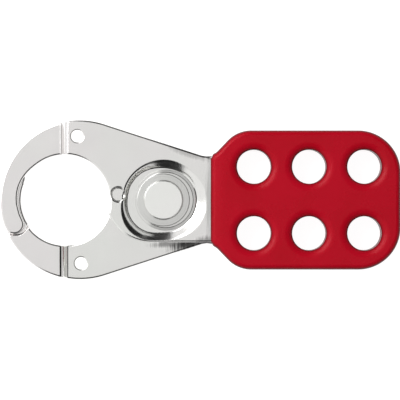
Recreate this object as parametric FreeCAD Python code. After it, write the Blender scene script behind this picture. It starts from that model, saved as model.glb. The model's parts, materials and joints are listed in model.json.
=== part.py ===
"""Six-hole lockout hasp with a one inch jaw, 111.8 x 44.6 x 8.6 mm.

Two stamped steel halves cross at a rivet like scissors. Left of the rivet each half is one
side of a round jaw, right of it each half is a dipped grip panel with six padlock holes.
Frame: X runs from the jaw to the grip, Z is up through the stack of two halves, and the
origin is at the middle of the footprint, on the surface that the hasp lies on.
"""

import FreeCAD, Part
import math
import os
from FreeCAD import Vector

# ---- driving dimensions, mm ----
LENGTH = 111.8              # jaw tip to end of grip
PLATE = 2.0                 # sheet steel
COAT = 1.1                  # dipped coating on each face and edge
GRIP_SLIP = 0.2             # between the two coated panels
MID_Z = PLATE + 2 * COAT + GRIP_SLIP / 2      # height of the plane between the halves

JAW_OUTER_R = 22.3
JAW_HOLE_R = 12.7           # one inch jaw
JAW_HOLE_SET = 4.1          # jaw hole sits this far in front of the outer circle's centre
HOOK_HOLE_R = 12.52         # inner edge of the back half's set-back hook
TAPER = math.radians(18)    # slope of the two long edges
NECK_BLEND_R = 6.0          # hollow where the long edge turns into the grip

GRIP_X = 2.8                # where the coating starts
GRIP_HALF = 19.4            # half width of the coated panel
GRIP_CORNER_R = 11.8
GRIP_NECK = 12.55           # half width of the coating where it starts
SHOULDER = math.radians(42)
SHOULDER_R = 9.0
GRIP_EDGE_R = 1.0           # rounding of the coating's edges
FRONT_JOGGLE = (-38.4, -36.8)   # x where the outer face leaves the jaw level and reaches the body's
BACK_JOGGLE = (-39.9, -38.0)
JOGGLE_LAG = 1.0            # the inner face does so this much nearer the grip
JOGGLE_BEND_R = 0.8
LOCK_R = 4.75               # clear padlock hole through the coating
LOCK_LIP_R = 1.5            # soft lip of each padlock hole
LOCK_X = (15.06, 30.45, 45.84)
LOCK_Y = 9.3

PIVOT_X = -10.2
INNER_EDGE_R = 13.35        # edge of each half that passes beside the dish
INNER_EDGE_X, INNER_EDGE_Y = -13.4, 1.6
DISH_FLOOR_R = 9.4          # flat bottom of the dish round the rivet
DISH_RIM_R = 11.2           # top of the dish wall
DISH_FLANGE = 0.4           # flat sheet round the dish that is pressed with it
DISH_GAP = 0.1              # running gap between the two dish floors

SHANK_R = 4.0
SHANK_CLEARANCE = 0.06      # radial, in the front half that turns on it
HEAD_R = 7.35
HEAD_EDGE = 0.45
HEAD_CHAMFER = 0.25
BOSS_R = 5.15               # flat raised middle of the head
BOSS_STEP = 0.3
BOSS_CHAMFER = 0.1
SHOULDER_RISE = 0.25        # slope of the head from its rim up to the raised middle
TAIL_R = 6.2                # set end at the back
TAIL_T = 1.0
TAIL_EDGE = 0.35            # height of its upright edge
TAIL_FLAT_R = 4.6
WASHER_R = 8.9
WASHER_T = 0.85
WASHER_BORE_R = 4.35
WASHER_SHIFT = 0.25         # the front washer sits a little off centre
RUNNING_GAP = 0.05          # under each washer

STOP_R = 1.4                # pressed stop button on the inner face
STOP_RISE = 1.5
STOP_X, STOP_Y = -22.8, 1.55
STOP_ROOT = 0.3             # how far the button reaches into the sheet
RECESS_R = 1.85             # the punch's recess behind the button, on the outer face
RECESS_MOUTH_R = 2.05
RECESS_DEPTH = 1.3

TAG_R = 1.72
FRONT_TAG = (-34.2, 17.8)
BACK_TAG = (-33.4, -17.75)

NOSE_R = 2.7                # round tip of the front hook
NOSE_ANGLE = math.radians(200.3)
HOOK_INNER = ((-46.7, 8.97), (-51.07, 1.23), (-50.34, -3.47))
HOOK_ROOT = math.radians(140)   # where the hook joins the jaw arm
FRONT_PARTING = math.radians(138)   # end of the jaw arm's own sheet
BACK_NOSE_R = 2.95
BACK_NOSE_ANGLE = math.radians(161.7)
POCKET_R = 3.2              # corner of the pocket in the back half round the front hook's tip
POCKET_X, POCKET_Y = -51.3, -6.6
POCKET_WALL = (0.2, 2.2)    # how far outside the pocket's rim the wall starts and ends
POCKET_WALL_TOP = -4.6      # the wall has run out at this y
POCKET_WALL_ROOT = 0.1      # how far the wall reaches into the sheet
HOOK_GAP = 0.1              # between the two overlapping hooks

FAR = 80.0                  # longer than anything in the model
SMALL = 1e-6

# ---- heights, measured from the plane between the halves ----
BODY_LOW = GRIP_SLIP / 2 + COAT
BODY_HIGH = BODY_LOW + PLATE
JAW_HIGH = PLATE / 2
OUTER_X = -LENGTH / 2 + JAW_OUTER_R
JAW_X = OUTER_X - JAW_HOLE_SET
GRIP_END = LENGTH / 2


def at(x, y, z=0.0):
    """A point, with z measured from the plane between the halves."""
    return Vector(x, y, z + MID_Z)


def polar(x, y, r, angle):
    return x + r * math.cos(angle), y + r * math.sin(angle)


def rounded(corners):
    """Closed wire through (x, y, radius) corners, each rounded with a tangent arc."""
    starts, edges = [], []
    for i, (x, y, radius) in enumerate(corners):
        here = Vector(x, y, 0)
        back = (Vector(*corners[i - 1][:2], 0) - here).normalize()
        ahead = (Vector(*corners[(i + 1) % len(corners)][:2], 0) - here).normalize()
        half = back.getAngle(ahead) / 2
        run = radius / math.tan(half)
        middle = (back + ahead).normalize() * (radius / math.sin(half) - radius)
        starts.append((here + back * run, here + middle, here + ahead * run, radius))
    for i, (first, middle, last, radius) in enumerate(starts):
        if radius:
            edges.append(Part.Arc(first, middle, last).toShape())
        following = starts[(i + 1) % len(starts)][0]
        edges.append(Part.LineSegment(last, following).toShape())
    return Part.Wire(edges)


def prism(wire, low, high):
    """Solid of an XY wire between two heights from the middle plane."""
    face = Part.Face(wire)
    face.translate(Vector(0, 0, low + MID_Z))
    return face.extrude(Vector(0, 0, high - low))


def disc(x, y, r, low=-FAR, high=FAR):
    return Part.makeCylinder(r, high - low, at(x, y, low))


def turned(profile, x=PIVOT_X, y=0.0):
    """Solid of revolution of an (r, z) polygon about the vertical line at x, y."""
    points = [at(x + r, y, z) for r, z in profile]
    face = Part.Face(Part.makePolygon(points + points[:1]))
    return face.revolve(at(x, y), Vector(0, 0, 1), 360)


def mirrored(shape):
    """The same shape turned over about the long axis, so front becomes back."""
    return shape.copy().rotate(at(0, 0), Vector(1, 0, 0), 180)


def grip_corners(inset):
    """Corners of the panel's outline, inset from the coated one, from neck to neck."""
    slope = math.tan(SHOULDER)
    height = GRIP_HALF - inset
    start_x = GRIP_X + inset * math.sin(SHOULDER)
    start_y = GRIP_NECK - inset * math.cos(SHOULDER)
    shoulder_x = start_x + (height - start_y) / slope
    end = GRIP_END - inset
    upper = [(shoulder_x, height, SHOULDER_R - inset), (end, height, GRIP_CORNER_R - inset)]
    lower = [(x, -y, r) for x, y, r in reversed(upper)]
    return start_x, start_y, upper + lower


def body_plan():
    """Plan of one whole half before it is parted: round head, tapered neck and panel."""
    top_x, top_y = polar(OUTER_X, 0, JAW_OUTER_R, math.pi / 2 - TAPER)
    start_x, start_y, panel = grip_corners(COAT)
    fall, climb = -math.tan(TAPER), math.tan(SHOULDER)
    neck_x = (start_y - top_y + fall * top_x - climb * start_x) / (fall - climb)
    neck_y = top_y + fall * (neck_x - top_x)
    wire = rounded([(top_x, top_y, 0), (neck_x, neck_y, NECK_BLEND_R)] + panel
                   + [(neck_x, -neck_y, NECK_BLEND_R), (top_x, -top_y, 0)])
    return prism(wire, -FAR, FAR).fuse(disc(OUTER_X, 0, JAW_OUTER_R)).removeSplitter(), neck_x


def kept_side(neck_x, left_side):
    """Region that the front half keeps: everything above its free inner edge."""
    edge_y = INNER_EDGE_Y - INNER_EDGE_R
    low_point = Vector(INNER_EDGE_X, edge_y, 0)
    arc_middle = Vector(*polar(INNER_EDGE_X, INNER_EDGE_Y, INNER_EDGE_R, math.radians(225)), 0)
    arc_end = Vector(INNER_EDGE_X - INNER_EDGE_R, INNER_EDGE_Y, 0)
    outline = [arc_end, Vector(JAW_X, 0, 0)] + left_side
    outline += [Vector(FAR, FAR, 0), Vector(FAR, -FAR, 0), Vector(neck_x, -FAR, 0)]
    outline += [Vector(neck_x, edge_y, 0), low_point]
    edges = [Part.LineSegment(a, b).toShape() for a, b in zip(outline, outline[1:])]
    edges.append(Part.Arc(low_point, arc_middle, arc_end).toShape())
    return prism(Part.Wire(edges), -FAR, FAR)


def stepped_sheet(jaw_x, body_x):
    """Sheet of constant thickness that steps up from the jaw's level to the body's."""
    bend = JOGGLE_BEND_R
    outline = [
        (-FAR, -JAW_HIGH, 0), (jaw_x + JOGGLE_LAG, -JAW_HIGH, bend),
        (body_x + JOGGLE_LAG, BODY_LOW, bend), (FAR, BODY_LOW, 0),
        (FAR, BODY_HIGH, 0), (body_x, BODY_HIGH, bend),
        (jaw_x, JAW_HIGH, bend), (-FAR, JAW_HIGH, 0),
    ]
    wire = rounded(outline)
    wire.rotate(Vector(0, 0, 0), Vector(1, 0, 0), 90)
    wire.translate(Vector(0, FAR, MID_Z))
    return Part.Face(wire).extrude(Vector(0, -2 * FAR, 0))


def dish():
    """Shallow drawn dish round the rivet, seen from the front half's outer side."""
    wall_shift = PLATE * math.tan(math.atan2(BODY_LOW - DISH_GAP / 2, DISH_RIM_R - DISH_FLOOR_R) / 2)
    floor = DISH_GAP / 2
    blank_r = DISH_RIM_R + wall_shift + DISH_FLANGE
    profile = [
        (0, floor), (DISH_FLOOR_R + wall_shift, floor), (DISH_RIM_R + wall_shift, BODY_LOW),
        (blank_r, BODY_LOW), (blank_r, BODY_HIGH), (DISH_RIM_R, BODY_HIGH),
        (DISH_FLOOR_R, floor + PLATE), (0, floor + PLATE),
    ]
    return turned(profile), blank_r


def front_hook():
    """The front half's hook: a narrow curved finger with a round tip."""
    nose_x, nose_y = polar(OUTER_X, 0, JAW_OUTER_R - NOSE_R, NOSE_ANGLE)
    inner_start, inner_middle, inner_end = [Vector(x, y, 0) for x, y in HOOK_INNER]
    to_nose = Vector(nose_x, nose_y, 0) - inner_end
    turn = math.asin(NOSE_R / to_nose.Length)
    heading = math.atan2(to_nose.y, to_nose.x) + turn
    reach = to_nose.Length * math.cos(turn)
    nose_start = inner_end + Vector(math.cos(heading), math.sin(heading), 0) * reach
    nose_from, nose_to = heading + math.pi / 2, NOSE_ANGLE - 2 * math.pi
    nose_middle = Vector(*polar(nose_x, nose_y, NOSE_R, (nose_from + nose_to) / 2), 0)
    nose_end = Vector(*polar(OUTER_X, 0, JAW_OUTER_R, NOSE_ANGLE), 0)
    outer_middle = Vector(*polar(OUTER_X, 0, JAW_OUTER_R, (NOSE_ANGLE + HOOK_ROOT) / 2), 0)
    outer_end = Vector(*polar(OUTER_X, 0, JAW_OUTER_R, HOOK_ROOT), 0)
    wire = Part.Wire([
        Part.Arc(inner_start, inner_middle, inner_end).toShape(),
        Part.LineSegment(inner_end, nose_start).toShape(),
        Part.Arc(nose_start, nose_middle, nose_end).toShape(),
        Part.Arc(nose_end, outer_middle, outer_end).toShape(),
        Part.LineSegment(outer_end, inner_start).toShape(),
    ])
    return prism(wire, -JAW_HIGH, JAW_HIGH)


def pocket_rim(spread):
    """Outline of the back half's hook, moved outwards by spread."""
    right, bottom = POCKET_X + POCKET_R + spread, POCKET_Y - POCKET_R - spread
    return rounded([(-FAR, bottom, 0), (right, bottom, POCKET_R + spread),
                    (right, FAR, 0), (-FAR, FAR, 0)])


def back_hook(body):
    """The back half's hook, set back behind the front one, and the wall that leads to it."""
    low = -JAW_HIGH - HOOK_GAP - PLATE
    nose_x, nose_y = polar(OUTER_X, 0, JAW_OUTER_R - BACK_NOSE_R, BACK_NOSE_ANGLE)
    finger = disc(OUTER_X, 0, JAW_OUTER_R, low, low + PLATE).cut(disc(JAW_X, 0, HOOK_HOLE_R))
    finger = finger.common(prism(pocket_rim(0.0), low, low + PLATE))
    finger = finger.cut(Part.makeBox(FAR, FAR, 2 * FAR, at(nose_x - FAR / 2, nose_y, -FAR)))
    finger = finger.fuse(disc(nose_x, nose_y, BACK_NOSE_R, low, low + PLATE))
    rims = []
    for spread, z in zip(POCKET_WALL, (low, -JAW_HIGH + POCKET_WALL_ROOT)):
        rim = pocket_rim(spread)
        rim.translate(Vector(0, 0, z + MID_Z))
        rims.append(rim)
    wall = Part.makeLoft(rims, True, True).common(body)
    wall = wall.common(Part.makeBox(2 * FAR, FAR, 2 * FAR, at(-FAR, POCKET_WALL_TOP - FAR, -FAR)))
    return finger, wall.cut(prism(pocket_rim(0.0), low + PLATE, FAR))


def stop_button():
    """(material to add, material to remove) of the pressed button in the front half."""
    boss = disc(STOP_X, STOP_Y, STOP_R, BODY_LOW - STOP_RISE, BODY_LOW + STOP_ROOT)
    bottom = BODY_HIGH - RECESS_DEPTH
    chamfer = RECESS_MOUTH_R - RECESS_R
    recess = turned([(0, bottom), (RECESS_R, bottom), (RECESS_R, BODY_HIGH - chamfer),
                     (RECESS_MOUTH_R, BODY_HIGH), (RECESS_MOUTH_R, FAR), (0, FAR)], STOP_X, STOP_Y)
    return boss, recess


def lock_holes(radius):
    holes = [disc(x, y, radius) for x in LOCK_X for y in (-LOCK_Y, LOCK_Y)]
    return holes[0].multiFuse(holes[1:])


def dished(sheet, plan):
    """Presses the dish and the stop button into a half's sheet."""
    bowl, blank_r = dish()
    sheet = sheet.cut(disc(PIVOT_X, 0, blank_r)).fuse(bowl.common(plan))
    boss, recess = stop_button()
    return sheet.cut(recess).fuse(boss)


def cut_jaw(plate, *bounds):
    """Cuts the jaw's bore in slices between x bounds, so each level of the sheet has its own wall."""
    bore = disc(JAW_X, 0, JAW_HOLE_R)
    for left, right in zip(bounds, bounds[1:]):
        plate = plate.cut(bore.common(Part.makeBox(right - left, FAR, 2 * FAR, at(left, -FAR / 2, -FAR))))
    return plate


def front_plate(body, neck_x):
    left_side = [Vector(*polar(JAW_X, 0, FAR, FRONT_PARTING), 0), Vector(-FAR, FAR, 0)]
    plan = body.common(kept_side(neck_x, left_side))
    plate = dished(stepped_sheet(*FRONT_JOGGLE).common(plan), plan).fuse(front_hook())
    plate = plate.cut(lock_holes(LOCK_R + COAT)).cut(disc(*FRONT_TAG, TAG_R))
    plate = plate.cut(disc(PIVOT_X, 0, SHANK_R + SHANK_CLEARANCE)).removeSplitter()
    jaw_x, body_x = FRONT_JOGGLE
    return cut_jaw(plate, -FAR, jaw_x, body_x + JOGGLE_LAG, FAR)


def back_plate(body, neck_x):
    left_side = [Vector(-FAR, 0, 0), Vector(-FAR, FAR, 0)]
    plan = body.common(kept_side(neck_x, left_side))
    plate = mirrored(dished(stepped_sheet(*BACK_JOGGLE).common(plan), plan))
    finger, wall = back_hook(body)
    plate = plate.cut(prism(pocket_rim(0.0), -FAR, FAR)).fuse(wall)
    plate = plate.cut(lock_holes(LOCK_R + COAT)).cut(disc(*BACK_TAG, TAG_R))
    plate = plate.cut(disc(PIVOT_X, 0, SHANK_R)).removeSplitter()
    jaw_x, body_x = BACK_JOGGLE
    return cut_jaw(plate, -FAR, jaw_x, body_x + JOGGLE_LAG, FAR).fuse(finger)


def grip_coating(plate):
    """Dipped coating of the front panel, closed round the steel and open at the neck."""
    _, _, panel = grip_corners(0.0)
    wire = rounded([(GRIP_X, GRIP_NECK, 0)] + panel + [(GRIP_X, -GRIP_NECK, 0)])
    low, high = GRIP_SLIP / 2, BODY_HIGH + COAT
    skin = prism(wire, low, high)
    flat = [e for e in skin.Edges if abs(e.BoundBox.ZLength) < SMALL]
    skin = skin.makeFillet(GRIP_EDGE_R, flat)
    skin = skin.cut(lock_holes(LOCK_R))
    lips = [e for e in skin.Edges if e.Curve.TypeId == "Part::GeomCircle"
            and abs(e.Curve.Radius - LOCK_R) < SMALL and e.isClosed()]
    skin = skin.makeFillet(LOCK_LIP_R, lips)
    return skin.cut(plate)


def pivot_rivet():
    """Rivet through both halves, with a flat-topped head in front and a set end behind."""
    head_low = DISH_GAP / 2 + PLATE + RUNNING_GAP + WASHER_T
    rim = head_low + HEAD_EDGE
    step = rim + SHOULDER_RISE
    top = step + BOSS_STEP
    tail_high = -(DISH_GAP / 2 + PLATE + WASHER_T)
    return turned([
        (0, tail_high - TAIL_T), (TAIL_FLAT_R, tail_high - TAIL_T), (TAIL_R, tail_high - TAIL_EDGE),
        (TAIL_R, tail_high), (SHANK_R, tail_high), (SHANK_R, head_low),
        (HEAD_R, head_low), (HEAD_R, rim - HEAD_CHAMFER), (HEAD_R - HEAD_CHAMFER, rim),
        (BOSS_R, step), (BOSS_R, top - BOSS_CHAMFER), (BOSS_R - BOSS_CHAMFER, top), (0, top),
    ])


def washer(low, x):
    edge = 0.2
    high = low + WASHER_T
    profile = [
        (WASHER_BORE_R, low), (WASHER_R - edge, low), (WASHER_R, low + edge),
        (WASHER_R, high - edge), (WASHER_R - edge, high), (WASHER_BORE_R, high),
    ]
    return turned(profile, x)


def build():
    body, neck_x = body_plan()
    front, back = front_plate(body, neck_x), back_plate(body, neck_x)
    front_grip = grip_coating(front)
    back_grip = mirrored(grip_coating(mirrored(back)))
    floor = DISH_GAP / 2 + PLATE
    return {
        "front_plate": front,
        "back_plate": back,
        "front_grip_coating": front_grip,
        "back_grip_coating": back_grip,
        "pivot_rivet": pivot_rivet(),
        "front_washer": washer(floor + RUNNING_GAP, PIVOT_X + WASHER_SHIFT),
        "back_washer": mirrored(washer(floor, PIVOT_X)),
    }


def main():
    os.makedirs("parts", exist_ok=True)
    for name, shape in build().items():
        solid = shape.Solids[0] if len(shape.Solids) == 1 else shape
        solid.exportStep(f"parts/{name}.step")
        box = solid.BoundBox
        print(name, len(shape.Solids), "solid", "valid" if shape.isValid() else "INVALID",
              round(shape.Volume), "mm3",
              [round(v, 2) for v in (box.XMin, box.XMax, box.YMin, box.YMax, box.ZMin, box.ZMax)])


main()
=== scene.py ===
"""Looks of the six-hole lockout hasp: two plated steel halves, their dipped grips and the rivet.

Lengths inside this script are millimetres along the frame's own axes, and meshes are made in
metres. Heights are measured from the plane between the two halves. Each half is described as
if it were the front one: the back half is the same description turned over about the long axis.
"""

import json
import math

import bpy
import numpy as np
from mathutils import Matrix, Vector
from mathutils.geometry import delaunay_2d_cdt


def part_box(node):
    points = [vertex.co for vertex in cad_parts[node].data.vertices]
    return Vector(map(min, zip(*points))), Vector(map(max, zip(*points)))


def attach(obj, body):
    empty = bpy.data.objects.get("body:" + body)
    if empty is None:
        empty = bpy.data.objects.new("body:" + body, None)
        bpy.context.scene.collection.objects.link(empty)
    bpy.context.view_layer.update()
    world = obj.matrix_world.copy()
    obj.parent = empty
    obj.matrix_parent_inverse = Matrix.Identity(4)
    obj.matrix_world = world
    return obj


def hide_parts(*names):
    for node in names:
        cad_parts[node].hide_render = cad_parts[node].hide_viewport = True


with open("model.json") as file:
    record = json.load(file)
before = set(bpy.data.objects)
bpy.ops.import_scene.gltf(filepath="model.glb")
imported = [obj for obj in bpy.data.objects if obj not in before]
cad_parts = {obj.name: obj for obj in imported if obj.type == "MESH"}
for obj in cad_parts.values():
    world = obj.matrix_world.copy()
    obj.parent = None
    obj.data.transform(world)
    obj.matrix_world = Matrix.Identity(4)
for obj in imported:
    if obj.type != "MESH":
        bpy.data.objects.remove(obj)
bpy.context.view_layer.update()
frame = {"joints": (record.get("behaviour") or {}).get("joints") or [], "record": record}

MM = 0.001
MOUNTS = {m["name"]: m for m in frame["record"]["mounts"]}


def mount_point(name):
    return [c / MM for c in MOUNTS[name]["pos_m"]]


def node_box(name):
    low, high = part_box(name)
    return np.array(low) / MM, np.array(high) / MM


# ---- places and sizes that the frame gives, mm ----
LOCKS = [mount_point(f"padlock_hole_{n}")[:2] for n in range(1, 7)]
LOCK_R = MOUNTS["padlock_hole_1"]["dims"]["r_mm"]
TAG_R = MOUNTS["front_tag_hole"]["dims"]["r_mm"]
JAW_X = mount_point("jaw")[0]
JAW_HOLE_R = MOUNTS["jaw"]["dims"]["r_mm"]
PIVOT_X, _, MID_Z = [c / MM for c in frame["joints"][0]["pos_m"]]
GRIP_LOW, GRIP_HIGH = node_box("front_grip_coating")
PLATE_LOW, PLATE_HIGH = node_box("front_plate")
RIVET_LOW, RIVET_HIGH = node_box("pivot_rivet")
GRIP_X, GRIP_END, GRIP_HALF = GRIP_LOW[0], GRIP_HIGH[0], GRIP_HIGH[1]
GRIP_INNER, GRIP_OUTER = GRIP_LOW[2] - MID_Z, GRIP_HIGH[2] - MID_Z
COAT = GRIP_END - PLATE_HIGH[0]
JAW_LOW, BODY_HIGH = PLATE_LOW[2] - MID_Z, PLATE_HIGH[2] - MID_Z
JAW_HIGH = -JAW_LOW
PLATE = JAW_HIGH - JAW_LOW
BODY_LOW = BODY_HIGH - PLATE
JAW_OUTER_R = PLATE_HIGH[1]
OUTER_X = PLATE_LOW[0] + JAW_OUTER_R

# ---- outline of the sheet, mm ----
TAPER = math.radians(18)
SHOULDER = math.radians(42)
NECK_BLEND_R = 6.0
SHOULDER_R = 9.0
GRIP_CORNER_R = 11.8
GRIP_NECK = 12.55
INNER_EDGE = (-13.4, 1.6, 13.35)       # free edge beside the dish: x, y, radius
NOSE_R, NOSE_ANGLE = 2.7, math.radians(200.3)
HOOK_HOLE = (-40.64, 0.44, 10.46)      # inner edge of the front hook: x, y, radius
HOOK_END = (-50.34, -3.47)             # where that edge runs straight to the round tip
BACK_NOSE_R, BACK_NOSE_ANGLE = 2.95, math.radians(198.3)
BACK_HOOK_R = 12.52                    # inner edge of the back hook, about the jaw's middle
POCKET = (-51.3, 6.6, 3.2)             # round corner of the back half's pocket: x, y, radius
RIVET_HOLE_R = 4.06

# ---- pressed shape of the sheet, mm ----
FRONT_JOGGLE = (-38.85, -37.6)         # where the outer face starts and ends its climb
BACK_JOGGLE = (-39.5, -38.25)
JOGGLE_LAG = 1.0                       # how much later the inner face does
OUTER_FOLDS, INNER_FOLDS = (0.12, 0.95), (0.8, 0.12)
HOOK_SET_BACK = PLATE + 0.1
# (start, end, softness of both) of the step into the pocket, on each face
POCKET_OUTER_STEP = (-2.2, -0.2, 0.4, 0.4)
POCKET_INNER_STEP = (-0.1, 0.15, 0.1, 0.04)
DISH_FLOOR_R, DISH_RIM_R, DISH_RIM_SOFT = 9.4, 10.85, 0.32
DISH_FLOOR_SOFT = 0.14
DISH_DEPTH = BODY_LOW - 0.05
DISH_LAG = 0.6                         # how much wider the dish is on the inner face
# (azimuth and half width in degrees, then what is added to the floor, the rim and its softness)
DISH_SWELLS = (
    (80, 52, -0.4, 0.2, 0.0),
    (268, 32, -0.3, 0.3, 0.0),
    (165, 75, 0.8, 0.15, 0.18),
    (222, 55, 1.0, 1.1, 0.8),           # the sheet gives way towards its free edge
    (-20, 80, -0.35, 0.95, 0.6),        # and towards the neck
)
STOP = (-22.8, 1.55)                   # middle of the stop button and the recess behind it
RECESS_R, RECESS_MOUTH_R, RECESS_DEPTH = 1.84, 2.3, 1.3
RECESS_LEDGE = 0.14
RECESS_WAIST_R = RECESS_R + RECESS_LEDGE   # where the funnel ends and the wall starts
RECESS_FUNNEL = 0.13                   # depth of the funnel
FUNNEL_FOLDS, WALL_FOLDS = (0.06, 0.03), (0.04, 0.08)
# (radius, height over the face) down the stop button
STOP_BOSS = ((1.5, 0.0), (1.43, -0.04), (1.38, -0.2), (1.38, -1.3), (1.3, -1.46),
             (1.1, -1.5), (0.6, -1.5))
# width and depth of rounded edges: where the punch enters, where it leaves, and at the tag holes
DIE_ROLL = (0.5, 0.36)
BURR_EDGE = (0.09, 0.09)
TAG_EDGE = (0.28, 0.24)
CUT_CORNER = 0.5                       # how softly cut edges meet

# ---- mesh density, mm ----
LOOP_STEP = 0.25                       # along the loops
FINE_STEP = 0.07                       # along them beside a recess
GRID_STEP = 0.4                        # of the grid that finds the loops
FILL_STEP = 0.9                        # between the loose points on plain sheet
JOGGLE_STEPS = (0.14, 0.5)             # between the points on a joggle, along and across the hasp
JOGGLE_MARGINS = (0.7, 0.9)            # how far they go past its start and its end
DISH_STEP, DISH_COUNT = 0.17, 180      # between the rings round the dish, and points on each
DISH_MARGINS = (0.8, 2.1)              # how far they go past its floor and its rim
POCKET_ALONG = 0.3                     # along the lines round the pocket
POCKET_SPREAD = (-0.5, 2.9)            # where plain points give way to those lines
RECESS_CLEAR = 0.4                     # how far plain points stay from the recess's mouth
ARC_STEP = math.radians(2.5)
HOLD, RIM_HOLD = 0.1, 0.05             # flat left beside a rounding so that its shading stays there


# ---- plane regions: functions that give signed distances, negative inside ----

def circle(x, y, r):
    return lambda p: np.hypot(p[:, 0] - x, p[:, 1] - y) - r


def outside(region):
    return lambda p: -region(p)


def either(first, second):
    return lambda p: np.minimum(first(p), second(p))


def overlap(*regions, soft=CUT_CORNER):
    """Where all the regions hold, with softly rounded corners."""
    def distance(p):
        value = regions[0](p)
        for region in regions[1:]:
            other = region(p)
            near = np.clip(1 - np.abs(value - other) / soft, 0, None)
            value = np.maximum(value, other) + near ** 2 * soft / 4
        return value

    return distance


def polygon(points, block=2000):
    start = np.array(points, float)
    end = np.roll(start, -1, axis=0)
    keep = np.linalg.norm(end - start, axis=1) > 1e-6
    start, run = start[keep], (end - start)[keep]

    def distance(p):
        result = np.empty(len(p))
        for i in range(0, len(p), block):
            q = p[i:i + block, None, :]
            to = q - start
            t = np.clip((to * run).sum(-1) / (run ** 2).sum(1), 0, 1)
            nearest = np.linalg.norm(to - t[..., None] * run, axis=-1).min(1)
            spans = (start[:, 1] > q[..., 1]) != (start[:, 1] + run[:, 1] > q[..., 1])
            rise = np.where(run[:, 1] == 0, 1.0, run[:, 1])
            crossing = start[:, 0] + to[..., 1] * run[:, 0] / rise
            inside = (spans & (q[..., 0] < crossing)).sum(1) % 2 == 1
            result[i:i + block] = np.where(inside, -nearest, nearest)
        return result

    return distance


def gradient(region, p, step=0.02):
    """Unit vectors that point straight out of the region."""
    dx, dy = np.array([step, 0]), np.array([0, step])
    grad = np.stack([region(p + dx) - region(p - dx), region(p + dy) - region(p - dy)], 1)
    return grad / np.maximum(np.linalg.norm(grad, axis=1), 1e-9)[:, None]


def settle(p, region, level):
    """The points moved straight out or in, onto one level of the region."""
    for _ in range(2):
        out = gradient(region, p)
        for _ in range(2):
            p = p - out * (region(p) - level)[:, None]
    return p


def trace(region, level, box):
    """Evenly spaced closed loops on one level of the region, with its inside on their left."""
    xs = np.arange(box[0], box[1], GRID_STEP)
    ys = np.arange(box[2], box[3], GRID_STEP)
    grid = np.stack(np.meshgrid(xs, ys, indexing="ij"), -1)
    value = (region(grid.reshape(-1, 2)) - level).reshape(len(xs), len(ys))
    value[value == 0] = 1e-9
    inside = (value < 0).astype(int)
    count = inside[:-1, :-1] + inside[1:, :-1] + inside[:-1, 1:] + inside[1:, 1:]
    places, links = {}, {}
    for i, j in zip(*np.nonzero((count > 0) & (count < 4))):
        cell = [(i, j), (i + 1, j), (i + 1, j + 1), (i, j + 1)]
        crossed = []
        for a, b in zip(cell, cell[1:] + cell[:1]):
            if inside[a] != inside[b]:
                key = (min(a, b), max(a, b))
                t = value[a] / (value[a] - value[b])
                places[key] = grid[a] * (1 - t) + grid[b] * t
                crossed.append(key)
        for a, b in zip(crossed[::2], crossed[1::2]):
            links.setdefault(a, []).append(b)
            links.setdefault(b, []).append(a)
    loops = []
    while links:
        start = next(iter(links))
        loop, before, here = [], None, start
        while not loop or here != start:
            loop.append(here)
            before, here = here, next(k for k in links[here] if k != before)
        for key in loop:
            del links[key]
        loops.append(evenly(np.array([places[k] for k in loop]), region, level))
    return loops


def evenly(loop, region, level, fewest=24):
    """The loop with points a step apart, and closer where it passes a stop button's recess."""
    closed = np.vstack([loop, loop[:1]])
    lengths = np.linalg.norm(np.diff(closed, axis=0), axis=1)
    near = np.hypot(*(loop - np.array(STOP)).T) < 2 * RECESS_R
    count = np.concatenate([[0], np.cumsum(lengths / np.where(near, FINE_STEP, LOOP_STEP))])
    at = np.linspace(0, count[-1], max(fewest, round(count[-1])), endpoint=False)
    spaced = np.stack([np.interp(at, count, closed[:, k]) for k in (0, 1)], 1)
    points = settle(spaced, region, level)
    forward = np.roll(points, -1, axis=0) - points
    out = gradient(region, points)
    leftward = forward[:, 0] * out[:, 1] - forward[:, 1] * out[:, 0]
    return points[::-1] if leftward.sum() > 0 else points


# ---- outlines ----

def polar(x, y, r, angle):
    return np.array([x + r * math.cos(angle), y + r * math.sin(angle)])


def arc(x, y, r, start, end, step=ARC_STEP):
    count = max(4, round(abs(end - start) / step))
    return [polar(x, y, r, a) for a in np.linspace(start, end, count)]


def rounded(corners, step=ARC_STEP):
    """Points of a closed outline through (x, y, radius) corners."""
    points = []
    for i, (x, y, radius) in enumerate(corners):
        here = np.array([x, y], float)
        if not radius:
            points.append(here)
            continue
        back = np.array(corners[i - 1][:2]) - here
        ahead = np.array(corners[(i + 1) % len(corners)][:2]) - here
        back, ahead = back / np.linalg.norm(back), ahead / np.linalg.norm(ahead)
        half = math.acos(np.clip(back @ ahead, -1, 1)) / 2
        centre = here + (back + ahead) / np.linalg.norm(back + ahead) * radius / math.sin(half)
        first = here + back * radius / math.tan(half) - centre
        last = here + ahead * radius / math.tan(half) - centre
        start = math.atan2(first[1], first[0])
        sweep = math.atan2(first[0] * last[1] - first[1] * last[0], first @ last)
        points += arc(*centre, radius, start, start + sweep, step)
    return points


def grip_corners(inset):
    """Start of the panel at the neck, and its four corners, inset from the coated outline."""
    height = GRIP_HALF - inset
    start_x = GRIP_X + inset * math.sin(SHOULDER)
    start_y = GRIP_NECK - inset * math.cos(SHOULDER)
    shoulder_x = start_x + (height - start_y) / math.tan(SHOULDER)
    upper = [(shoulder_x, height, SHOULDER_R - inset),
             (GRIP_END - inset, height, GRIP_CORNER_R - inset)]
    return start_x, start_y, upper + [(x, -y, r) for x, y, r in reversed(upper)]


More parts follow.
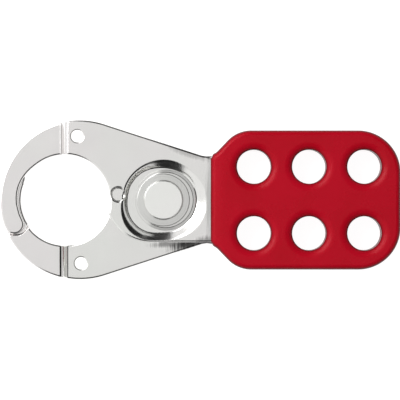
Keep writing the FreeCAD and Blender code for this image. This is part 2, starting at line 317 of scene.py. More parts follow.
def body_region():
    """A whole half before it is parted, and the x where its neck turns into the panel."""
    top_x, top_y = polar(OUTER_X, 0, JAW_OUTER_R, math.pi / 2 - TAPER)
    start_x, start_y, panel = grip_corners(COAT)
    fall, climb = -math.tan(TAPER), math.tan(SHOULDER)
    neck_x = (start_y - top_y + fall * top_x - climb * start_x) / (fall - climb)
    neck_y = top_y + fall * (neck_x - top_x)
    outline = [(top_x, top_y, 0), (neck_x, neck_y, NECK_BLEND_R)] + panel
    outline += [(neck_x, -neck_y, NECK_BLEND_R), (top_x, -top_y, 0)]
    return either(polygon(rounded(outline)), circle(OUTER_X, 0, JAW_OUTER_R)), neck_x


def kept_region(neck_x, hook, far=90.0):
    """What a half keeps when it is parted: all above its free inner edge, and its hook."""
    x, y, r = INNER_EDGE
    outline = [(JAW_X, 0.0)] + hook
    outline += [(-far, far), (far, far), (far, -far), (neck_x, -far), (neck_x, y - r)]
    return polygon(outline + arc(x, y, r, math.radians(270), math.radians(180)))


def front_hook():
    """Points from the end of the hook's curved inner edge round its tip, and outwards."""
    nose = polar(OUTER_X, 0, JAW_OUTER_R - NOSE_R, NOSE_ANGLE)
    to_nose = nose - np.array(HOOK_END)
    lean = math.asin(NOSE_R / np.linalg.norm(to_nose))
    first = math.atan2(to_nose[1], to_nose[0]) + lean + math.pi / 2
    tip = arc(*nose, NOSE_R, first, NOSE_ANGLE - 2 * math.pi)
    return [np.array(HOOK_END)] + tip + [polar(OUTER_X, 0, 2 * JAW_OUTER_R, NOSE_ANGLE)]


def back_hook():
    nose = polar(OUTER_X, 0, JAW_OUTER_R - BACK_NOSE_R, BACK_NOSE_ANGLE)
    first = math.atan2(-nose[1], JAW_X - nose[0])
    tip = arc(*nose, BACK_NOSE_R, first, BACK_NOSE_ANGLE - 2 * math.pi)
    return tip + [polar(OUTER_X, 0, 2 * JAW_OUTER_R, BACK_NOSE_ANGLE)]


# ---- heights of the sheet's two faces ----

def bend(u, soft):
    """0 before 0 and u after it, turning over a stretch of twice soft."""
    return np.where(u < -soft, 0, np.where(u > soft, u, (u + soft) ** 2 / (4 * soft)))


def ramp(u, start, end, rise, soft_start, soft_end):
    """0 before start and rise after end."""
    return rise / (end - start) * (bend(u - start, soft_start) - bend(u - end, soft_end))


def dish_drop(p, lag=0.0):
    """How far the sheet is pressed in round the rivet."""
    dx, dy = p[:, 0] - PIVOT_X, p[:, 1]
    around = np.degrees(np.arctan2(dy, dx))
    floor_r, rim_r, rim_soft = DISH_FLOOR_R + lag, DISH_RIM_R + lag, DISH_RIM_SOFT
    for azimuth, half, floor_more, rim_more, soft_more in DISH_SWELLS:
        off = np.abs((around - azimuth + 180) % 360 - 180) / half
        share = np.cos(np.clip(off, 0, 1) * math.pi / 2) ** 2
        floor_r, rim_r = floor_r + floor_more * share, rim_r + rim_more * share
        rim_soft = rim_soft + soft_more * share
    return ramp(-np.hypot(dx, dy), -rim_r, -floor_r, DISH_DEPTH, rim_soft, DISH_FLOOR_SOFT)


def recess(p):
    """Depth of the round recess behind the stop button: a shallow funnel, then a steep wall."""
    r = np.hypot(p[:, 0] - STOP[0], p[:, 1] - STOP[1])
    funnel = ramp(-r, -RECESS_MOUTH_R, -RECESS_WAIST_R, RECESS_FUNNEL, *FUNNEL_FOLDS)
    wall = RECESS_DEPTH - RECESS_FUNNEL
    return funnel + ramp(-r, -RECESS_WAIST_R, -RECESS_R, wall, *WALL_FOLDS)


def pocket_spread(p):
    """Distance outwards from the rim of the pocket round the front hook's tip."""
    x, y, r = POCKET
    corner = np.hypot(p[:, 0] - x, p[:, 1] - y) - r
    straight = np.maximum(p[:, 0] - x, p[:, 1] - y) - r
    return np.where((p[:, 0] > x) & (p[:, 1] > y), corner, straight)


def pocket_step(p, step):
    """How far one face is set back inside the pocket."""
    start, end, soft_start, soft_end = step
    return ramp(-pocket_spread(p), start, end, HOOK_SET_BACK, soft_start, soft_end)


def sheet_faces(joggle, hooked):
    """Heights of the outer and the inner face, as functions of the place."""
    start, end = joggle
    rise = BODY_HIGH - JAW_HIGH

    def outer(p):
        climb = ramp(p[:, 0], start, end, rise, *OUTER_FOLDS)
        z = JAW_HIGH + climb - dish_drop(p) - recess(p)
        return z + hooked * pocket_step(p, POCKET_OUTER_STEP)

    def inner(p):
        climb = ramp(p[:, 0] - JOGGLE_LAG, start, end, rise, *INNER_FOLDS)
        z = JAW_LOW + climb - dish_drop(p, DISH_LAG)
        return z + hooked * pocket_step(p, POCKET_INNER_STEP)

    return outer, inner


# ---- meshing ----

def quarter(width, depth, steps):
    """(inset, drop) of an elliptic rounding, from the face to the wall."""
    turns = np.linspace(0, math.pi / 2, steps + 1)
    return [(width * (1 - math.sin(a)), depth * (1 - math.cos(a))) for a in turns]


def rim_rows(outer_edge, inner_edge, steps):
    """(inset, face, drop) rows that lead over a cut edge from the outer face to the inner one."""
    inset = max(outer_edge[0], inner_edge[0]) + RIM_HOLD
    over = [(u, 0, drop) for u, drop in quarter(*outer_edge, steps)]
    under = [(u, 1, drop) for u, drop in reversed(quarter(*inner_edge, steps))]
    return [(inset, 0, 0.0)] + over + under + [(inset, 1, 0.0)]


def ring(x, y, r, count):
    """Clockwise points on a circle, so that what lies round it is on their left."""
    angles = np.linspace(2 * math.pi, 0, count, endpoint=False)
    return np.stack([x + r * np.cos(angles), y + r * np.sin(angles)], 1)


def lattice(x_low, x_high, x_step, y_low, y_high, y_step):
    xs, ys = np.arange(x_low, x_high, x_step), np.arange(y_low, y_high, y_step)
    points = np.stack(np.meshgrid(xs, ys, indexing="ij"), -1)
    points[1::2, :, 1] += y_step / 2
    return points.reshape(-1, 2)


class Shell:
    """Vertices and faces of one closed mesh."""

    def __init__(self):
        self.points, self.faces = [], []

    def add(self, xy, z):
        first = len(self.points)
        self.points += [(x, y, h) for (x, y), h in zip(xy, z)]
        return list(range(first, len(self.points)))

    def strip(self, upper, lower, flip=False):
        for k, (a, b) in enumerate(zip(upper, lower)):
            n = (k + 1) % len(upper)
            face = (a, b, lower[n], upper[n])
            self.faces.append(face[::-1] if flip else face)

    def wall(self, region, rows, faces, box):
        """Rounded walls along the region's edge. Returns each face's loops: (points, numbers)."""
        outer_loops, inner_loops = [], []
        widest = rows[0][0]
        for loop in trace(region, -widest, box):
            edge = settle(loop, region, 0.0)
            rings = []
            for inset, side, drop in rows:
                p = edge + (loop - edge) * inset / widest
                rings.append(self.add(p, faces[side](p) + (drop if side else -drop)))
            for upper, lower in zip(rings, rings[1:]):
                self.strip(upper, lower)
            outer_loops.append((loop, rings[0]))
            inner_loops.append((loop, rings[-1]))
        return outer_loops, inner_loops

    def button(self, x, y, profile, height, count=56):
        """A round button on the inner face. Returns the loop where it leaves the face."""
        level = height(np.array([[x, y]]))[0]
        rings = []
        for r, dz in profile:
            p = ring(x, y, r, count)
            rings.append((p, self.add(p, height(p) if dz == 0 else np.full(count, level + dz))))
        for (_, upper), (_, lower) in zip(rings, rings[1:]):
            self.strip(upper, lower, flip=True)
        last = rings[-1][1]
        centre, = self.add([(x, y)], [level + profile[-1][1]])
        self.faces += [(a, b, centre) for a, b in zip(last, last[1:] + last[:1])]
        return rings[0]

    def fill(self, loops, loose, borders, height, flip):
        """Triangles over a face, through its loops and the loose points inside them."""
        points = [tuple(p) for loop, _ in loops for p in loop] + [tuple(p) for p in loose]
        numbers = [n for _, ids in loops for n in ids] + self.add(loose, height(loose))
        edges, first = [], 0
        for loop, _ in loops:
            edges += [(first + k, first + (k + 1) % len(loop)) for k in range(len(loop))]
            first += len(loop)
        _, _, faces, source, _, _ = delaunay_2d_cdt([Vector(p) for p in points], edges, [], 1, 1e-7)
        corners = np.array([[source[k][0] for k in face] for face in faces])
        middles = np.array(points)[corners].mean(1)
        held = np.ones(len(faces), bool)
        for region, rows in borders:
            held &= region(middles) < -rows[0][0] + 1e-4
        for face in corners[held]:
            ids = [numbers[k] for k in face]
            self.faces.append(tuple(ids[::-1] if flip else ids))

    def piece(self, name, turned_over=False):
        points = np.array(self.points)
        if turned_over:
            points = points * (1, -1, -1)
        points[:, 2] += MID_Z
        mesh = bpy.data.meshes.new(name)
        mesh.from_pydata([tuple(p) for p in points * MM], [], self.faces)
        mesh.validate()
        mesh.shade_smooth()
        made = bpy.data.objects.new(name, mesh)
        bpy.context.scene.collection.objects.link(made)
        return made


def clear_of(points, borders, step=LOOP_STEP):
    """The loose points that stay clear of every border's loops."""
    keep = np.ones(len(points), bool)
    for region, rows in borders:
        keep &= region(points) < -rows[0][0] - step / 2
    return points[keep]


# ---- the steel halves ----

BODY, NECK_X = body_region()
BOX = (PLATE_LOW[0] - 1, GRIP_END + 1, -JAW_OUTER_R - 1, JAW_OUTER_R + 1)   # 1 mm beyond all round


def holes():
    """The rivet's hole and the six larger holes that the coating lines."""
    found = [circle(PIVOT_X, 0, RIVET_HOLE_R)]
    return found + [circle(x, y, LOCK_R + COAT) for x, y in LOCKS]


def front_region():
    kept = kept_region(NECK_X, front_hook())
    cuts = [circle(JAW_X, 0, JAW_HOLE_R), circle(*HOOK_HOLE)] + holes()
    return overlap(BODY, kept, *[outside(c) for c in cuts])


def back_region():
    kept = kept_region(NECK_X, back_hook())
    arm_hole = overlap(circle(JAW_X, 0, JAW_HOLE_R), outside(pocket_spread), soft=0.2)
    jaw = either(circle(JAW_X, 0, BACK_HOOK_R), arm_hole)
    cuts = [jaw] + holes()
    return overlap(BODY, kept, *[outside(c) for c in cuts])


def recess_points():
    """Rings of loose points: a few outside the recess, many down it, and a few on its floor."""
    mouth = RECESS_MOUTH_R + 0.1
    radii = np.concatenate([np.arange(RECESS_MOUTH_R + 0.3, mouth, -0.1),
                            np.arange(mouth, RECESS_R - RECESS_LEDGE, -0.03),
                            [1.5, 1.2, 0.8, 0.4]])
    return np.concatenate([ring(*STOP, r, max(12, int(r * 48))) for r in radii])


def pocket_points():
    """Loose points on lines that follow the pocket's rim, closest together at the rim itself."""
    x, y, r = POCKET
    side = np.arange(BOX[2], y, POCKET_ALONG)
    base = np.arange(BOX[0], x, POCKET_ALONG)
    parts = []
    for out in np.concatenate([np.arange(-0.45, 0.3, 0.05), np.arange(0.4, 3.0, 0.2)]):
        parts.append(np.stack([np.full(len(side), x + r + out), side], 1))
        parts.append(np.array(arc(x, y, r + out, 0, math.pi / 2, math.radians(4.5))))
        parts.append(np.stack([base, np.full(len(base), y + r + out)], 1))
    return parts


def sheet_points(joggle, hooked):
    """Loose points, dense where the sheet bends."""
    start = joggle[0] - JOGGLE_MARGINS[0]
    end = joggle[1] + JOGGLE_LAG + JOGGLE_MARGINS[1]
    dish_low = DISH_FLOOR_R - DISH_MARGINS[0]
    dish_high = DISH_RIM_R + DISH_LAG + DISH_MARGINS[1]
    points = lattice(BOX[0], BOX[1], FILL_STEP, BOX[2], BOX[3], FILL_STEP)
    in_joggle = (points[:, 0] > start) & (points[:, 0] < end)
    from_pivot = np.hypot(points[:, 0] - PIVOT_X, points[:, 1])
    plain = ~in_joggle & ~((from_pivot > dish_low) & (from_pivot < dish_high))
    if hooked:
        spread = pocket_spread(points)
        plain &= (spread < POCKET_SPREAD[0]) | (spread > POCKET_SPREAD[1])
    parts = [points[plain]]
    parts.append(lattice(start, end, JOGGLE_STEPS[0], BOX[2], BOX[3], JOGGLE_STEPS[1]))
    parts += [ring(PIVOT_X, 0, r, DISH_COUNT) for r in np.arange(dish_low, dish_high, DISH_STEP)]
    if hooked:
        parts += pocket_points()
    return np.concatenate(parts)


def steel_half(name, region, tag_hole, joggle, hooked):
    """One stamped half. The hooked half is the back one, which is turned over at the end."""
    outer, inner = sheet_faces(joggle, hooked)
    edges = (BURR_EDGE, DIE_ROLL) if hooked else (DIE_ROLL, BURR_EDGE)
    x, y, _ = mount_point(tag_hole)
    tag = outside(circle(x, -y if hooked else y, TAG_R))
    borders = [(region, rim_rows(*edges, 5)), (tag, rim_rows(TAG_EDGE, TAG_EDGE, 4))]
    shell = Shell()
    outer_loops, inner_loops = [], []
    for border in borders:
        outer_found, inner_found = shell.wall(*border, (outer, inner), BOX)
        outer_loops += outer_found
        inner_loops += inner_found
    loose = clear_of(sheet_points(joggle, hooked), borders)
    off_recess = np.hypot(*(loose - np.array(STOP)).T) > RECESS_MOUTH_R + RECESS_CLEAR
    recessed = clear_of(recess_points(), borders, FINE_STEP)
    outer_loose = np.concatenate([loose[off_recess], recessed])
    shell.fill(outer_loops, outer_loose, borders, outer, flip=False)
    inner_loops.append(shell.button(*STOP, STOP_BOSS, inner))
    borders.append((outside(circle(*STOP, STOP_BOSS[0][0])), [(0.0, 1, 0.0)]))
    shell.fill(inner_loops, clear_of(loose, borders), borders, inner, flip=True)
    return shell.piece(name, turned_over=hooked)


# ---- the dipped grips ----

GRIP_EDGE, GRIP_UNDER_EDGE = (1.4, 1.4), (0.9, 0.9)
LOCK_LIP, LOCK_UNDER_LIP = (2.3, 1.2), (1.0, 0.8)
GRIP_WAIST = (4.6, 13.3, 3.6)          # hollow where the panel spreads from the neck
GRIP_START_SHORT, GRIP_START_R = 0.15, 0.35
GRIP_START_RUN, GRIP_START_DROP = 4.2, 0.4


def grip_outline():
    _, _, panel = grip_corners(0.0)
    x, y, r = GRIP_WAIST
    start_y = GRIP_NECK - GRIP_START_SHORT
    return polygon(rounded([(GRIP_X, start_y, GRIP_START_R), (x, y, r)] + panel
                           + [(x, -y, r), (GRIP_X, -start_y, GRIP_START_R)]))


def grip_top(p):
    """Height of the coating's outer face, which thins out towards the neck."""
    before = np.clip(1 - (p[:, 0] - GRIP_X) / GRIP_START_RUN, 0, 1)
    return GRIP_OUTER - GRIP_START_DROP * before ** 2


def coating(name, steel, turned_over):
    """A dipped grip: the whole coated panel, less the steel inside it."""
    outline = grip_outline()
    borders = [(outline, rim_rows(GRIP_EDGE, GRIP_UNDER_EDGE, 9))]
    lip = rim_rows(LOCK_LIP, LOCK_UNDER_LIP, 9)
    borders += [(outside(circle(x, y, LOCK_R)), lip) for x, y in LOCKS]
    heights = (grip_top, lambda p: np.full(len(p), GRIP_INNER))
    shell = Shell()
    both = ([], [])
    for border in borders:
        for loops, found in zip(both, shell.wall(*border, heights, BOX)):
            loops += found
    loose = lattice(GRIP_X, GRIP_END, FILL_STEP, -GRIP_HALF, GRIP_HALF, FILL_STEP)
    loose = clear_of(loose, borders)
    for loops, height, flip in zip(both, heights, (False, True)):
        shell.fill(loops, loose, borders, height, flip)
    return without(shell.piece(name, turned_over), steel)


def without(piece, other):
    """The piece with the other piece's solid taken out of it."""
    cut = piece.modifiers.new("hollow", "BOOLEAN")
    cut.operation, cut.solver, cut.object = "DIFFERENCE", "MANIFOLD", other
    graph = bpy.context.evaluated_depsgraph_get()
    mesh = bpy.data.meshes.new_from_object(piece.evaluated_get(graph))
    piece.modifiers.clear()
    piece.data = mesh
    mesh.name = piece.name
    mesh.shade_smooth()
    mesh.set_sharp_from_angle(angle=math.radians(50))
    return piece


# ---- the rivet and its washers ----

RIVET_PLAY = 0.06                      # between the shank and its hole
HEAD_LOW, HEAD_RIM = 2.95, 3.5         # heights of the head's underside and its rim
DISC_FOOT, DISC_FOOT_R, DISC_R = 3.58, 5.42, 5.25   # the raised disc on the head
TAIL_END_R, TAIL_R, TAIL_BEVEL, TAIL_HIGH = 4.4, 6.2, 0.75, -2.9
WASHER_BORE_R, WASHER_SEEN_R = 4.35, 8.5
WASHER_EDGE, WASHER_BEVEL = 0.3, 0.8
WASHER_IN = 0.05                       # a washer's far side stops this short of the CAD one's


def held(profile):
    """The closed profile with a point added just inside each end of its long straight runs."""
    points = []
    for a, b in zip(profile, profile[1:] + profile[:1]):
        points.append(a)
        length = np.linalg.norm(b - a)
        if length > 4 * HOLD:
            step = (b - a) / length * HOLD
            points += [a + step, b - step]
    return points


def turned(name, corners, x, segments=160):
    """Closed mesh of a counter-clockwise (r, z, rounding) profile turned about a vertical line."""
    shell = Shell()
    profile = held(rounded(corners, step=math.radians(12)))
    rings = []
    for r, z in profile:
        if r < 1e-6:
            rings.append(shell.add([(x, 0)], [z]) * segments)
        else:
            rings.append(shell.add(ring(x, 0, r, segments)[::-1], [z] * segments))
    for low, high in zip(rings, rings[1:] + rings[:1]):
        for k in range(segments):
            n = (k + 1) % segments
            face = list(dict.fromkeys((low[k], low[n], high[n], high[k])))
            if len(face) > 2:
                shell.faces.append(tuple(face))
    return shell.piece(name)


def pivot_rivet():
    """The rivet from its set tail up to the raised disc on its head."""
    low, high = RIVET_LOW[2] - MID_Z, RIVET_HIGH[2] - MID_Z
    head_r = (RIVET_HIGH[0] - RIVET_LOW[0]) / 2
    shank_r = RIVET_HOLE_R - RIVET_PLAY
    tail = [(0, low, 0), (TAIL_END_R, low, 0.8), (TAIL_R, low + TAIL_BEVEL, 0.4),
            (TAIL_R, TAIL_HIGH, 0), (shank_r, TAIL_HIGH, 0)]
    head = [(shank_r, HEAD_LOW, 0), (head_r, HEAD_LOW, 0.1), (head_r, HEAD_RIM, 0.14),
            (DISC_FOOT_R, DISC_FOOT, 0.1), (DISC_R, high, 0.12), (0, high, 0)]
    return turned("pivot_rivet_visual", tail + head, PIVOT_X)


def washer(name, low_corner, high_corner):
    """A bevelled ring in the box of its CAD node, a little off the rivet's axis."""
    low, high = low_corner[2] - MID_Z, high_corner[2] - MID_Z
    r = WASHER_SEEN_R
    profile = [(WASHER_BORE_R, low, 0), (r, low, 0.1), (r, low + WASHER_EDGE, 0.1),
               (r - WASHER_BEVEL, high, 0.3), (WASHER_BORE_R, high, 0)]
    return turned(name, profile, high_corner[0] - WASHER_IN - r)


# ---- materials ----

class Nodes:
    """Short way to add and link shader nodes."""

    def __init__(self, tree):
        self.tree = tree
        tree.nodes.clear()

    def add(self, kind, settings=None, **inputs):
        """A new node. An input is named, or numbered as i0, i1 and so on."""
        node = self.tree.nodes.new(kind)
        for key, value in (settings or {}).items():
            setattr(node, key, value)
        for key, value in inputs.items():
            numbered = key[0] == "i" and key[1:].isdigit()
            socket = node.inputs[int(key[1:]) if numbered else key.replace("_", " ")]
            if isinstance(value, bpy.types.NodeSocket):
                self.tree.links.new(value, socket)
            else:
                socket.default_value = value
        return node

    def math(self, operation, a, b=0.0, c=0.0):
        return self.add("ShaderNodeMath", {"operation": operation}, i0=a, i1=b, i2=c).outputs[0]

    def vector(self, operation, a, b):
        return self.add("ShaderNodeVectorMath", {"operation": operation}, i0=a, i1=b).outputs[0]

    def plan_length(self, vector):
        """Length of the vector with its height left out."""
        flat = self.vector("MULTIPLY", vector, (1, 1, 0))
        return self.add("ShaderNodeVectorMath", {"operation": "LENGTH"}, i0=flat).outputs["Value"]

    def scaled(self, colour, factor):
        return self.add("ShaderNodeVectorMath", {"operation": "SCALE"},
                        i0=colour, Scale=factor).outputs[0]

    def mix(self, share, a, b):
        return self.add("ShaderNodeMix", i0=share, i2=a, i3=b).outputs[0]

    def mix_colours(self, share, a, b):
        return self.add("ShaderNodeMix", {"data_type": "RGBA"}, i0=share, i6=a, i7=b).outputs[2]

    def noise(self, at, scale, detail):
        return self.add("ShaderNodeTexNoise", i0=at, Scale=scale, Detail=detail).outputs[0]

    def position(self):
        return self.add("ShaderNodeTexCoord").outputs["Object"]

    def level(self):
        """1 on a level face, down to 0 on an upright wall."""
        normal = self.add("ShaderNodeNewGeometry").outputs["Normal"]
        return self.math("ABSOLUTE", self.add("ShaderNodeSeparateXYZ", i0=normal).outputs[2])

    def fit(self, value, low, high, out_low=0.0, out_high=1.0, smooth=False):
        kind = "SMOOTHSTEP" if smooth else "LINEAR"
        return self.add("ShaderNodeMapRange", {"interpolation_type": kind},
                        i0=value, i1=low, i2=high, i3=out_low, i4=out_high).outputs[0]


def new_material(name):
    material = bpy.data.materials.new(name)
    material.use_nodes = True
    return material, Nodes(material.node_tree)


def finish_material(nodes, shader):
    nodes.add("ShaderNodeOutputMaterial", Surface=shader.outputs[0])


def plated_steel(name, tint, roughness, painted_shades=(), bright_r=None):
    """Bright nickel plating over rolled sheet: nearly clean, with faint rolling lines and haze.

    A mark is a darker streaked patch of painted shade: (x, y, half length, half width, turn,
    strength), in mm and degrees. It is placed in plan, so it shows on both faces of the sheet. Within
    bright_r of the pivot the face is polished; the rest is duller, and its steep faces are darker
    still as painted shade.
    """
    material, n = new_material(name)
    at = n.position()
    haze = n.noise(at, 150.0, 4.0)
    tone = n.noise(at, 45.0, 2.0)
    stretched = n.add("ShaderNodeMapping", i0=at, Scale=(1.0, 0.12, 1.0)).outputs[0]
    lines = n.noise(stretched, 1900.0, 3.0)
    rough = n.fit(haze, 0.3, 0.7, roughness * 0.85, roughness * 1.15)
    bump = n.add("ShaderNodeBump", Strength=0.05, Distance=0.0002, Height=lines).outputs[0]
    shade = n.fit(haze, 0.3, 0.7, 0.975, 1.02)
    # each mark darkens the colour in its patch as painted shade
    for x, y, half_length, half_width, turn, strength in painted_shades:
        local = n.add("ShaderNodeMapping", {"vector_type": "TEXTURE"}, i0=at,
                      Location=(x * MM, y * MM, 0), Rotation=(0, 0, math.radians(turn)),
                      Scale=(half_length * MM, half_width * MM, 1)).outputs[0]
        streaks = n.math("SUBTRACT", lines, 0.5)
        ragged = n.math("MULTIPLY_ADD", streaks, 0.9, n.plan_length(local))
        painted_shade_cover = n.fit(ragged, 1.0, 0.25, 0.0, strength, smooth=True)
        shade = n.math("MULTIPLY", shade, n.math("SUBTRACT", 1.0, painted_shade_cover))
    if bright_r:
        away = n.plan_length(n.vector("SUBTRACT", at, (PIVOT_X * MM, 0, 0)))
        rings = n.add("ShaderNodeTexNoise", {"noise_dimensions": "1D"},
                      W=away, Scale=4000.0, Detail=2.0).outputs[0]
        # painted shade: steep faces darker, down to 0.4 on upright walls
        edge = n.fit(n.level(), 0.55, 0.8, 0.4, 1.0)
        dull_and_painted_shade = n.math("MULTIPLY", n.fit(rings, 0.3, 0.7, 0.74, 0.81), edge)
        beyond = n.fit(away, bright_r * MM, (bright_r + 0.15) * MM)
        shade = n.math("MULTIPLY", shade, n.mix(beyond, 1.0, dull_and_painted_shade))
    warm = n.mix_colours(n.fit(tone, 0.35, 0.65), (1.0, 1.005, 0.97, 1), (1.012, 0.985, 0.975, 1))
    colour = n.scaled(n.vector("MULTIPLY", warm, tint), shade)
    finish_material(n, n.add("ShaderNodeBsdfPrincipled", Metallic=1.0, Base_Color=colour,
                             Roughness=rough, Normal=bump))
    return material


def red_vinyl():
    """Dipped vinyl: smooth, softly glossy, slightly uneven, and darker on steep faces as painted
    shade.
    """
    material, n = new_material("red_vinyl_dip")
    at = n.position()
    blotch = n.noise(at, 90.0, 3.0)
    grain = n.noise(at, 1500.0, 2.0)
    red = n.mix_colours(n.fit(blotch, 0.35, 0.65), (0.375, 0.0005, 0.009, 1), (0.41, 0.001, 0.012, 1))
    # painted shade: steep faces darkened down to a quarter of the red
    colour = n.scaled(red, n.fit(n.level(), 0.5, 0.96, 0.25, 1.0))
    rough = n.fit(blotch, 0.3, 0.7, 0.24, 0.3)
    bump = n.add("ShaderNodeBump", Strength=0.05, Distance=0.0002, Height=grain).outputs[0]
    finish_material(n, n.add("ShaderNodeBsdfPrincipled", Base_Color=colour, Roughness=rough,
                             Normal=bump, Specular_IOR_Level=0.17))
    return material


# ---- the object ----

SHEET_TINT, SHEET_ROUGHNESS = (0.87, 0.87, 0.87), 0.14
RIVET_TINT, RIVET_ROUGHNESS = (0.965, 0.965, 0.965), 0.15
POLISHED_R = 5.3
# Patches of painted shade on each half's plating, laid out as plated_steel takes them
FRONT_PAINTED_SHADES = (
    (2.5, 0, 1.2, 15, 0, 0.28),         # painted shade where the plating meets the grip
    (-3.0, 12.9, 8, 1.3, -18, 0.3),     # painted shade along the neck's upper edge
    (-4.5, 14.0, 14, 0.6, -18, 0.8),
    # painted shade in a thin line where the joggle starts to climb
    (FRONT_JOGGLE[0], 17.5, 0.36, 9, 0, 0.45),
    (1.0, -11.6, 3.4, 2.0, 10, 0.5),    # painted shade beside the neck's free edge
)
BACK_PAINTED_SHADES = (
    (-3.0, -12.3, 7.5, 2.3, 14, 0.92),  # painted shadow under the front half's edge
    (-8.5, -12.3, 7, 1.3, 4, 0.6),
)
FRONT_STEEL = plated_steel("front_plating", SHEET_TINT, SHEET_ROUGHNESS, painted_shades=FRONT_PAINTED_SHADES)
BACK_STEEL = plated_steel("back_plating", SHEET_TINT, SHEET_ROUGHNESS, painted_shades=BACK_PAINTED_SHADES)
RIVET_STEEL = plated_steel("rivet_plating", RIVET_TINT, RIVET_ROUGHNESS, bright_r=POLISHED_R)
VINYL = red_vinyl()


def place(piece, material, body, node):
    """Finish a piece, put it on its body and let it stand for its CAD node."""
    piece.data.materials.clear()
    piece.data.materials.append(material)
    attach(piece, body)
    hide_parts(node)


front_steel = steel_half("front_half_sheet", front_region(), "front_tag_hole", FRONT_JOGGLE,
                         hooked=False)
back_steel = steel_half("back_half_sheet", back_region(), "back_tag_hole", BACK_JOGGLE,
                        hooked=True)
front_coat = coating("front_grip_dip", front_steel, turned_over=False)
back_coat = coating("back_grip_dip", back_steel, turned_over=True)
place(front_steel, FRONT_STEEL, "front_half", "front_plate")
place(back_steel, BACK_STEEL, "back_half", "back_plate")
place(front_coat, VINYL, "front_half", "front_grip_coating")
place(back_coat, VINYL, "back_half", "back_grip_coating")
place(pivot_rivet(), RIVET_STEEL, "back_half", "pivot_rivet")
for node in ("front_washer", "back_washer"):
    place(washer(f"{node}_visual", *node_box(node)), RIVET_STEEL, "back_half", node)


# ---- studio, metres ----

CAMERA_HEIGHT = 0.705
VIEW_WIDTH = 0.112                      # what the camera sees across, at the object
FLOOR_SIZE = 4.0
FLOOR_DROP = 0.00005                    # keeps the floor from meeting the underside face to face
FLOOR_TONES, FLOOR_GLOW = (0.29, 0.31), 0.95

# Cards that the metal reflects, in degrees: azimuth of the middle, half width, then the least and
# the greatest angle from straight up. The last number is the brightness.
CARDS = (
    (0.5, 73.5, 9, 58, 0.02),           # dark card on the grip side
    (0.5, 73.5, 61, 95, 0.8),
    (88.5, 14.5, 9, 66, 0.02),          # dark gap above the object in the picture
    (261.5, 25.5, 9, 66, 0.02),         # and below it
    (169.5, 66.5, 12, 95, 1.13),        # bright card on the jaw side
    (142, 31, 18, 48, 5.6),             # lamp behind it
)
CARD_EDGE = 3.0                         # half width of a card's soft edge, degrees
OVERHEAD, ROOM = 1.02, 0.75             # brightness above and all round, where no card is
OVERHEAD_EDGE = (50.0, 70.0)            # where the one turns into the other, degrees
FILL = 0.45                             # what lights the scene from all round
BACKDROP = 0.9                          # what the camera sees beyond the floor
KEY_AZIMUTH, KEY_TILT = math.radians(148), math.radians(50)
KEY_DISTANCE, KEY_SIZE, KEY_POWER = 0.9, 0.6, 8.6


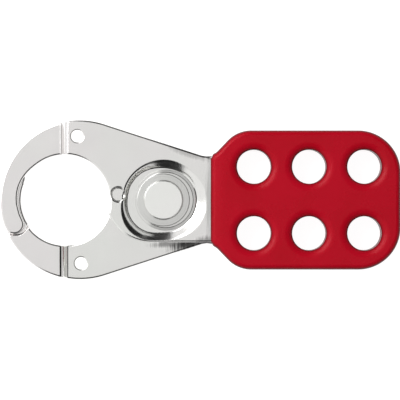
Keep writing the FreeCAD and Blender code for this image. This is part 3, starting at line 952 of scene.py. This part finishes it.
def studio_world():
    """An evenly lit room with the cards in it, which only reflections see."""
    world = bpy.data.worlds.new("studio")
    world.use_nodes = True
    bpy.context.scene.world = world
    n = Nodes(world.node_tree)
    way = n.add("ShaderNodeSeparateXYZ", i0=n.add("ShaderNodeTexCoord").outputs["Generated"])
    x, y, z = way.outputs
    within = n.fit(z, -1.0, 1.0, -1.0, 1.0)
    tilt = n.math("MULTIPLY", n.math("ARCCOSINE", within), math.degrees(1))
    level = n.math("SQRT", n.math("MULTIPLY_ADD", x, x, n.math("MULTIPLY", y, y)))
    level = n.math("MAXIMUM", level, 1e-4)
    light = n.fit(tilt, *OVERHEAD_EDGE, OVERHEAD, ROOM, smooth=True)
    for azimuth, half, low, high, brightness in CARDS:
        turn = math.radians(azimuth)
        toward = n.math("MULTIPLY_ADD", x, math.cos(turn), n.math("MULTIPLY", y, math.sin(turn)))
        across = n.fit(n.math("DIVIDE", toward, level), math.cos(math.radians(half + 2 * CARD_EDGE)),
                       math.cos(math.radians(half - 2 * CARD_EDGE)), smooth=True)
        above = n.fit(tilt, low - CARD_EDGE, low + CARD_EDGE, smooth=True)
        below = n.fit(tilt, high + CARD_EDGE, high - CARD_EDGE, smooth=True)
        share = n.math("MULTIPLY", across, n.math("MULTIPLY", above, below))
        light = n.mix(share, light, brightness)
    shown = n.add("ShaderNodeLightPath").outputs
    light = n.mix(shown["Is Diffuse Ray"], light, FILL)
    light = n.mix(shown["Is Camera Ray"], light, BACKDROP)
    n.add("ShaderNodeOutputWorld", Surface=n.add("ShaderNodeBackground", Strength=light).outputs[0])


def floor():
    half = FLOOR_SIZE / 2
    mesh = bpy.data.meshes.new("floor")
    corners = [(-half, -half), (half, -half), (half, half), (-half, half)]
    mesh.from_pydata([(x, y, -FLOOR_DROP) for x, y in corners], [], [(0, 1, 2, 3)])
    plane = bpy.data.objects.new("floor", mesh)
    bpy.context.scene.collection.objects.link(plane)
    material, n = new_material("pale_floor")
    noise = n.add("ShaderNodeTexNoise", Scale=3.0).outputs[0]
    tone = n.fit(noise, 0.0, 1.0, *FLOOR_TONES)
    finish_material(n, n.add("ShaderNodeBsdfPrincipled", Base_Color=tone, Roughness=1.0,
                             Specular_IOR_Level=0.0, Emission_Color=(1, 1, 1, 1),
                             Emission_Strength=FLOOR_GLOW))
    mesh.materials.append(material)


def soft_light():
    """A softbox for matt surfaces, which reflections don't show."""
    lamp = bpy.data.lights.new("key_softbox", "AREA")
    lamp.shape, lamp.size, lamp.energy = "DISK", KEY_SIZE, KEY_POWER
    item = bpy.data.objects.new("key_softbox", lamp)
    out = KEY_DISTANCE * math.sin(KEY_TILT)
    item.location = (out * math.cos(KEY_AZIMUTH), out * math.sin(KEY_AZIMUTH),
                     KEY_DISTANCE * math.cos(KEY_TILT))
    item.rotation_euler = (0, KEY_TILT, KEY_AZIMUTH)
    item.visible_glossy = False
    bpy.context.scene.collection.objects.link(item)


def camera():
    """Straight above the object, as in the photograph."""
    data = bpy.data.cameras.new("camera")
    data.sensor_width = 36.0
    data.lens = data.sensor_width * (CAMERA_HEIGHT - MID_Z * MM) / VIEW_WIDTH
    data.clip_start, data.clip_end = 0.01, 10.0
    item = bpy.data.objects.new("camera", data)
    item.location = (0, 0, CAMERA_HEIGHT)
    bpy.context.scene.collection.objects.link(item)
    bpy.context.scene.camera = item


studio_world()
floor()
soft_light()
camera()
bpy.context.scene.view_settings.view_transform = "Standard"

bpy.context.view_layer.update()
